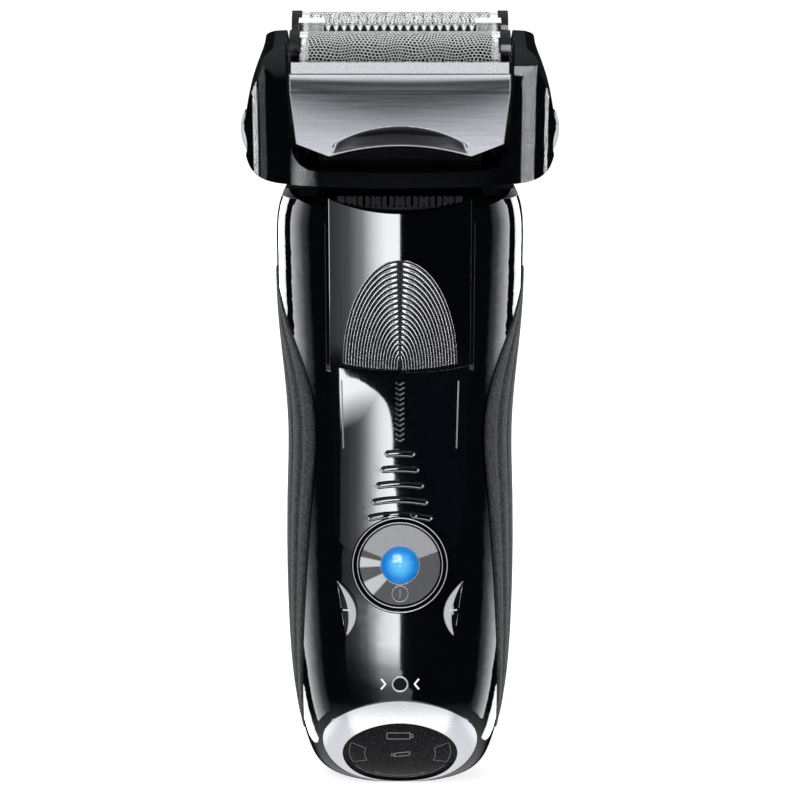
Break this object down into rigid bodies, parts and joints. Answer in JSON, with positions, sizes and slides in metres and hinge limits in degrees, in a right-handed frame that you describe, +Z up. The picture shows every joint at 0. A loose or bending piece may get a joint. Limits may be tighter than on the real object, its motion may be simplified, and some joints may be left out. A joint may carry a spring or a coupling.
{
  "type": "foil shaver",
  "caption": "Upright battery foil shaver with a tilting head, lift-off foil cassette, side grips, slide-up long-hair trimmer and chin display.",
  "frame": {"origin": "on the flat foot that the handle stands on, under the handle's middle", "axes": "+X to the right seen from the front, +Y towards the back, +Z up along the handle"},
  "size_m": [0.0648, 0.0416, 0.1618],
  "materials": {
    "shell_gloss": "deep gloss black",
    "back_satin": "satin black",
    "grip_rubber": "dark grey textured soft touch",
    "panel_gloss": "deep gloss black",
    "satin_silver": "satin silver",
    "window_dark": "dark glossy window",
    "board_dark": "matte",
    "spun_metal": "spun, with radial shine",
    "lens_blue": "clear bright blue",
    "key_black": "gloss black",
    "cap_black": "fine grain",
    "contact_metal": "plated",
    "inner_plastic": "moulded grey",
    "battery_wrap": "shrink wrap",
    "board_green": "solder mask",
    "steel": "machined",
    "blade_steel": "ground",
    "seal_rubber": "matte",
    "pad_ridges": "ridged, metallic lacquer",
    "head_gloss": "deep gloss black",
    "release_chrome": "satin chrome",
    "coil_copper": "lacquered winding",
    "cassette_black": "matte black",
    "cover_chrome": "mirror chrome",
    "foil_steel": "thin perforated steel"
  },
  "bodies": {
    "handle": {"front_shell": "shell_gloss", "back_shell": "back_satin", "left_grip": "grip_rubber", "right_grip": "grip_rubber", "bottom_cap": "cap_black", "power_socket": "cap_black", "socket_pins": "contact_metal", "charging_contacts": "contact_metal", "control_panel": "panel_gloss", "button_bezel": "panel_gloss", "display_ring": "satin_silver", "display_window": "window_dark", "display_board": "board_dark", "inner_chassis": "inner_plastic", "battery_cell": "battery_wrap", "battery_tabs": "steel", "circuit_board": "board_green", "body_screws": "steel", "neck_seal": "seal_rubber", "hinge_pins": "steel", "neck_stops": "steel"},
    "head": {"head_frame": "head_gloss", "motor_housing": "cassette_black", "motor_coil": "coil_copper", "leaf_springs": "steel"},
    "head_lock": {"head_lock_slider": "back_satin"},
    "oscillator": {"oscillator": "steel"},
    "cassette": {"cassette_frame": "cassette_black", "cassette_cover": "cover_chrome", "cassette_rear_cover": "cover_chrome", "cassette_bars": "satin_silver"},
    "foil_front": {"foil_front": "foil_steel", "foil_front_frame": "cassette_black"},
    "foil_rear": {"foil_rear": "foil_steel", "foil_rear_frame": "cassette_black"},
    "middle_trimmer": {"middle_comb": "blade_steel"},
    "cutter_front": {"cutter_front": "blade_steel"},
    "cutter_rear": {"cutter_rear": "blade_steel"},
    "middle_cutter": {"middle_cutter": "blade_steel"},
    "release_left": {"release_button_left": "release_chrome"},
    "release_right": {"release_button_right": "release_chrome"},
    "trimmer_slider": {"trimmer_slider": "panel_gloss", "thumb_pad": "pad_ridges", "trimmer_comb": "blade_steel"},
    "trimmer_cutter": {"trimmer_cutter": "blade_steel"},
    "power_button": {"power_button": "spun_metal", "button_lens": "lens_blue"},
    "minus_button": {"minus_button": "key_black"},
    "plus_button": {"plus_button": "key_black"},
    "reset_button": {"reset_button": "cap_black"}
  },
  "joints": [
    {"name": "head_tilt", "type": "hinge", "parent": "handle", "child": "head", "pos_m": [0, -0.004, 0.129], "axis": [-1, 0, 0], "range_deg": [-12, 28], "stiffness_Nm_per_rad": 0.4},
    {"name": "head_lock_slide", "type": "slide", "parent": "handle", "child": "head_lock", "axis": [0, -0.1461, 0.9893], "range_m": [0, 0.004]},
    {"name": "cassette_lift", "type": "slide", "parent": "head", "child": "cassette", "axis": [0, -0.225, 0.9744], "range_m": [0, 0.035]},
    {"name": "foil_front_float", "type": "slide", "parent": "cassette", "child": "foil_front", "axis": [0, 0.225, -0.9744], "range_m": [0, 0.0015], "stiffness_N_per_m": 300, "springref_m": -0.0006},
    {"name": "foil_rear_float", "type": "slide", "parent": "cassette", "child": "foil_rear", "axis": [0, 0.225, -0.9744], "range_m": [0, 0.0015], "stiffness_N_per_m": 300, "springref_m": -0.0006},
    {"name": "middle_float", "type": "slide", "parent": "cassette", "child": "middle_trimmer", "axis": [0, 0.225, -0.9744], "range_m": [0, 0.0015], "stiffness_N_per_m": 300, "springref_m": -0.0006},
    {"name": "oscillator_slide", "type": "slide", "parent": "head", "child": "oscillator", "axis": [1, 0, 0], "range_m": [-0.0012, 0.0012], "stiffness_N_per_m": 2000},
    {"name": "cutter_front_slide", "type": "slide", "parent": "foil_front", "child": "cutter_front", "axis": [1, 0, 0], "range_m": [-0.0012, 0.0012]},
    {"name": "cutter_rear_slide", "type": "slide", "parent": "foil_rear", "child": "cutter_rear", "axis": [1, 0, 0], "range_m": [-0.0012, 0.0012]},
    {"name": "middle_cutter_slide", "type": "slide", "parent": "middle_trimmer", "child": "middle_cutter", "axis": [1, 0, 0], "range_m": [-0.0012, 0.0012]},
    {"name": "release_left_press", "type": "slide", "parent": "head", "child": "release_left", "axis": [0.9781, -0.0468, 0.2026], "range_m": [0, 0.0015], "stiffness_N_per_m": 500},
    {"name": "release_right_press", "type": "slide", "parent": "head", "child": "release_right", "axis": [-0.9781, -0.0468, 0.2026], "range_m": [0, 0.0015], "stiffness_N_per_m": 500},
    {"name": "trimmer_slide", "type": "slide", "parent": "handle", "child": "trimmer_slider", "axis": [0, -0.1908, 0.9816], "range_m": [0, 0.014]},
    {"name": "trimmer_cutter_slide", "type": "slide", "parent": "trimmer_slider", "child": "trimmer_cutter", "axis": [1, 0, 0], "range_m": [-0.0012, 0.0012]},
    {"name": "power_press", "type": "slide", "parent": "handle", "child": "power_button", "axis": [0, 0.9877, -0.1564], "range_m": [0, 0.0008], "stiffness_N_per_m": 600},
    {"name": "minus_press", "type": "slide", "parent": "handle", "child": "minus_button", "axis": [0, 1, 0], "range_m": [0, 0.0006], "stiffness_N_per_m": 500},
    {"name": "plus_press", "type": "slide", "parent": "handle", "child": "plus_button", "axis": [0, 1, 0], "range_m": [0, 0.0006], "stiffness_N_per_m": 500},
    {"name": "reset_press", "type": "slide", "parent": "handle", "child": "reset_button", "axis": [0, 1, 0], "range_m": [0, 0.0004], "stiffness_N_per_m": 500}
  ],
  "couplings": [
    {"joint": "cutter_front_slide", "follows": "oscillator_slide", "ratio": 1},
    {"joint": "cutter_rear_slide", "follows": "oscillator_slide", "ratio": 1},
    {"joint": "middle_cutter_slide", "follows": "oscillator_slide", "ratio": 1},
    {"joint": "trimmer_cutter_slide", "follows": "oscillator_slide", "ratio": 1}
  ]
}
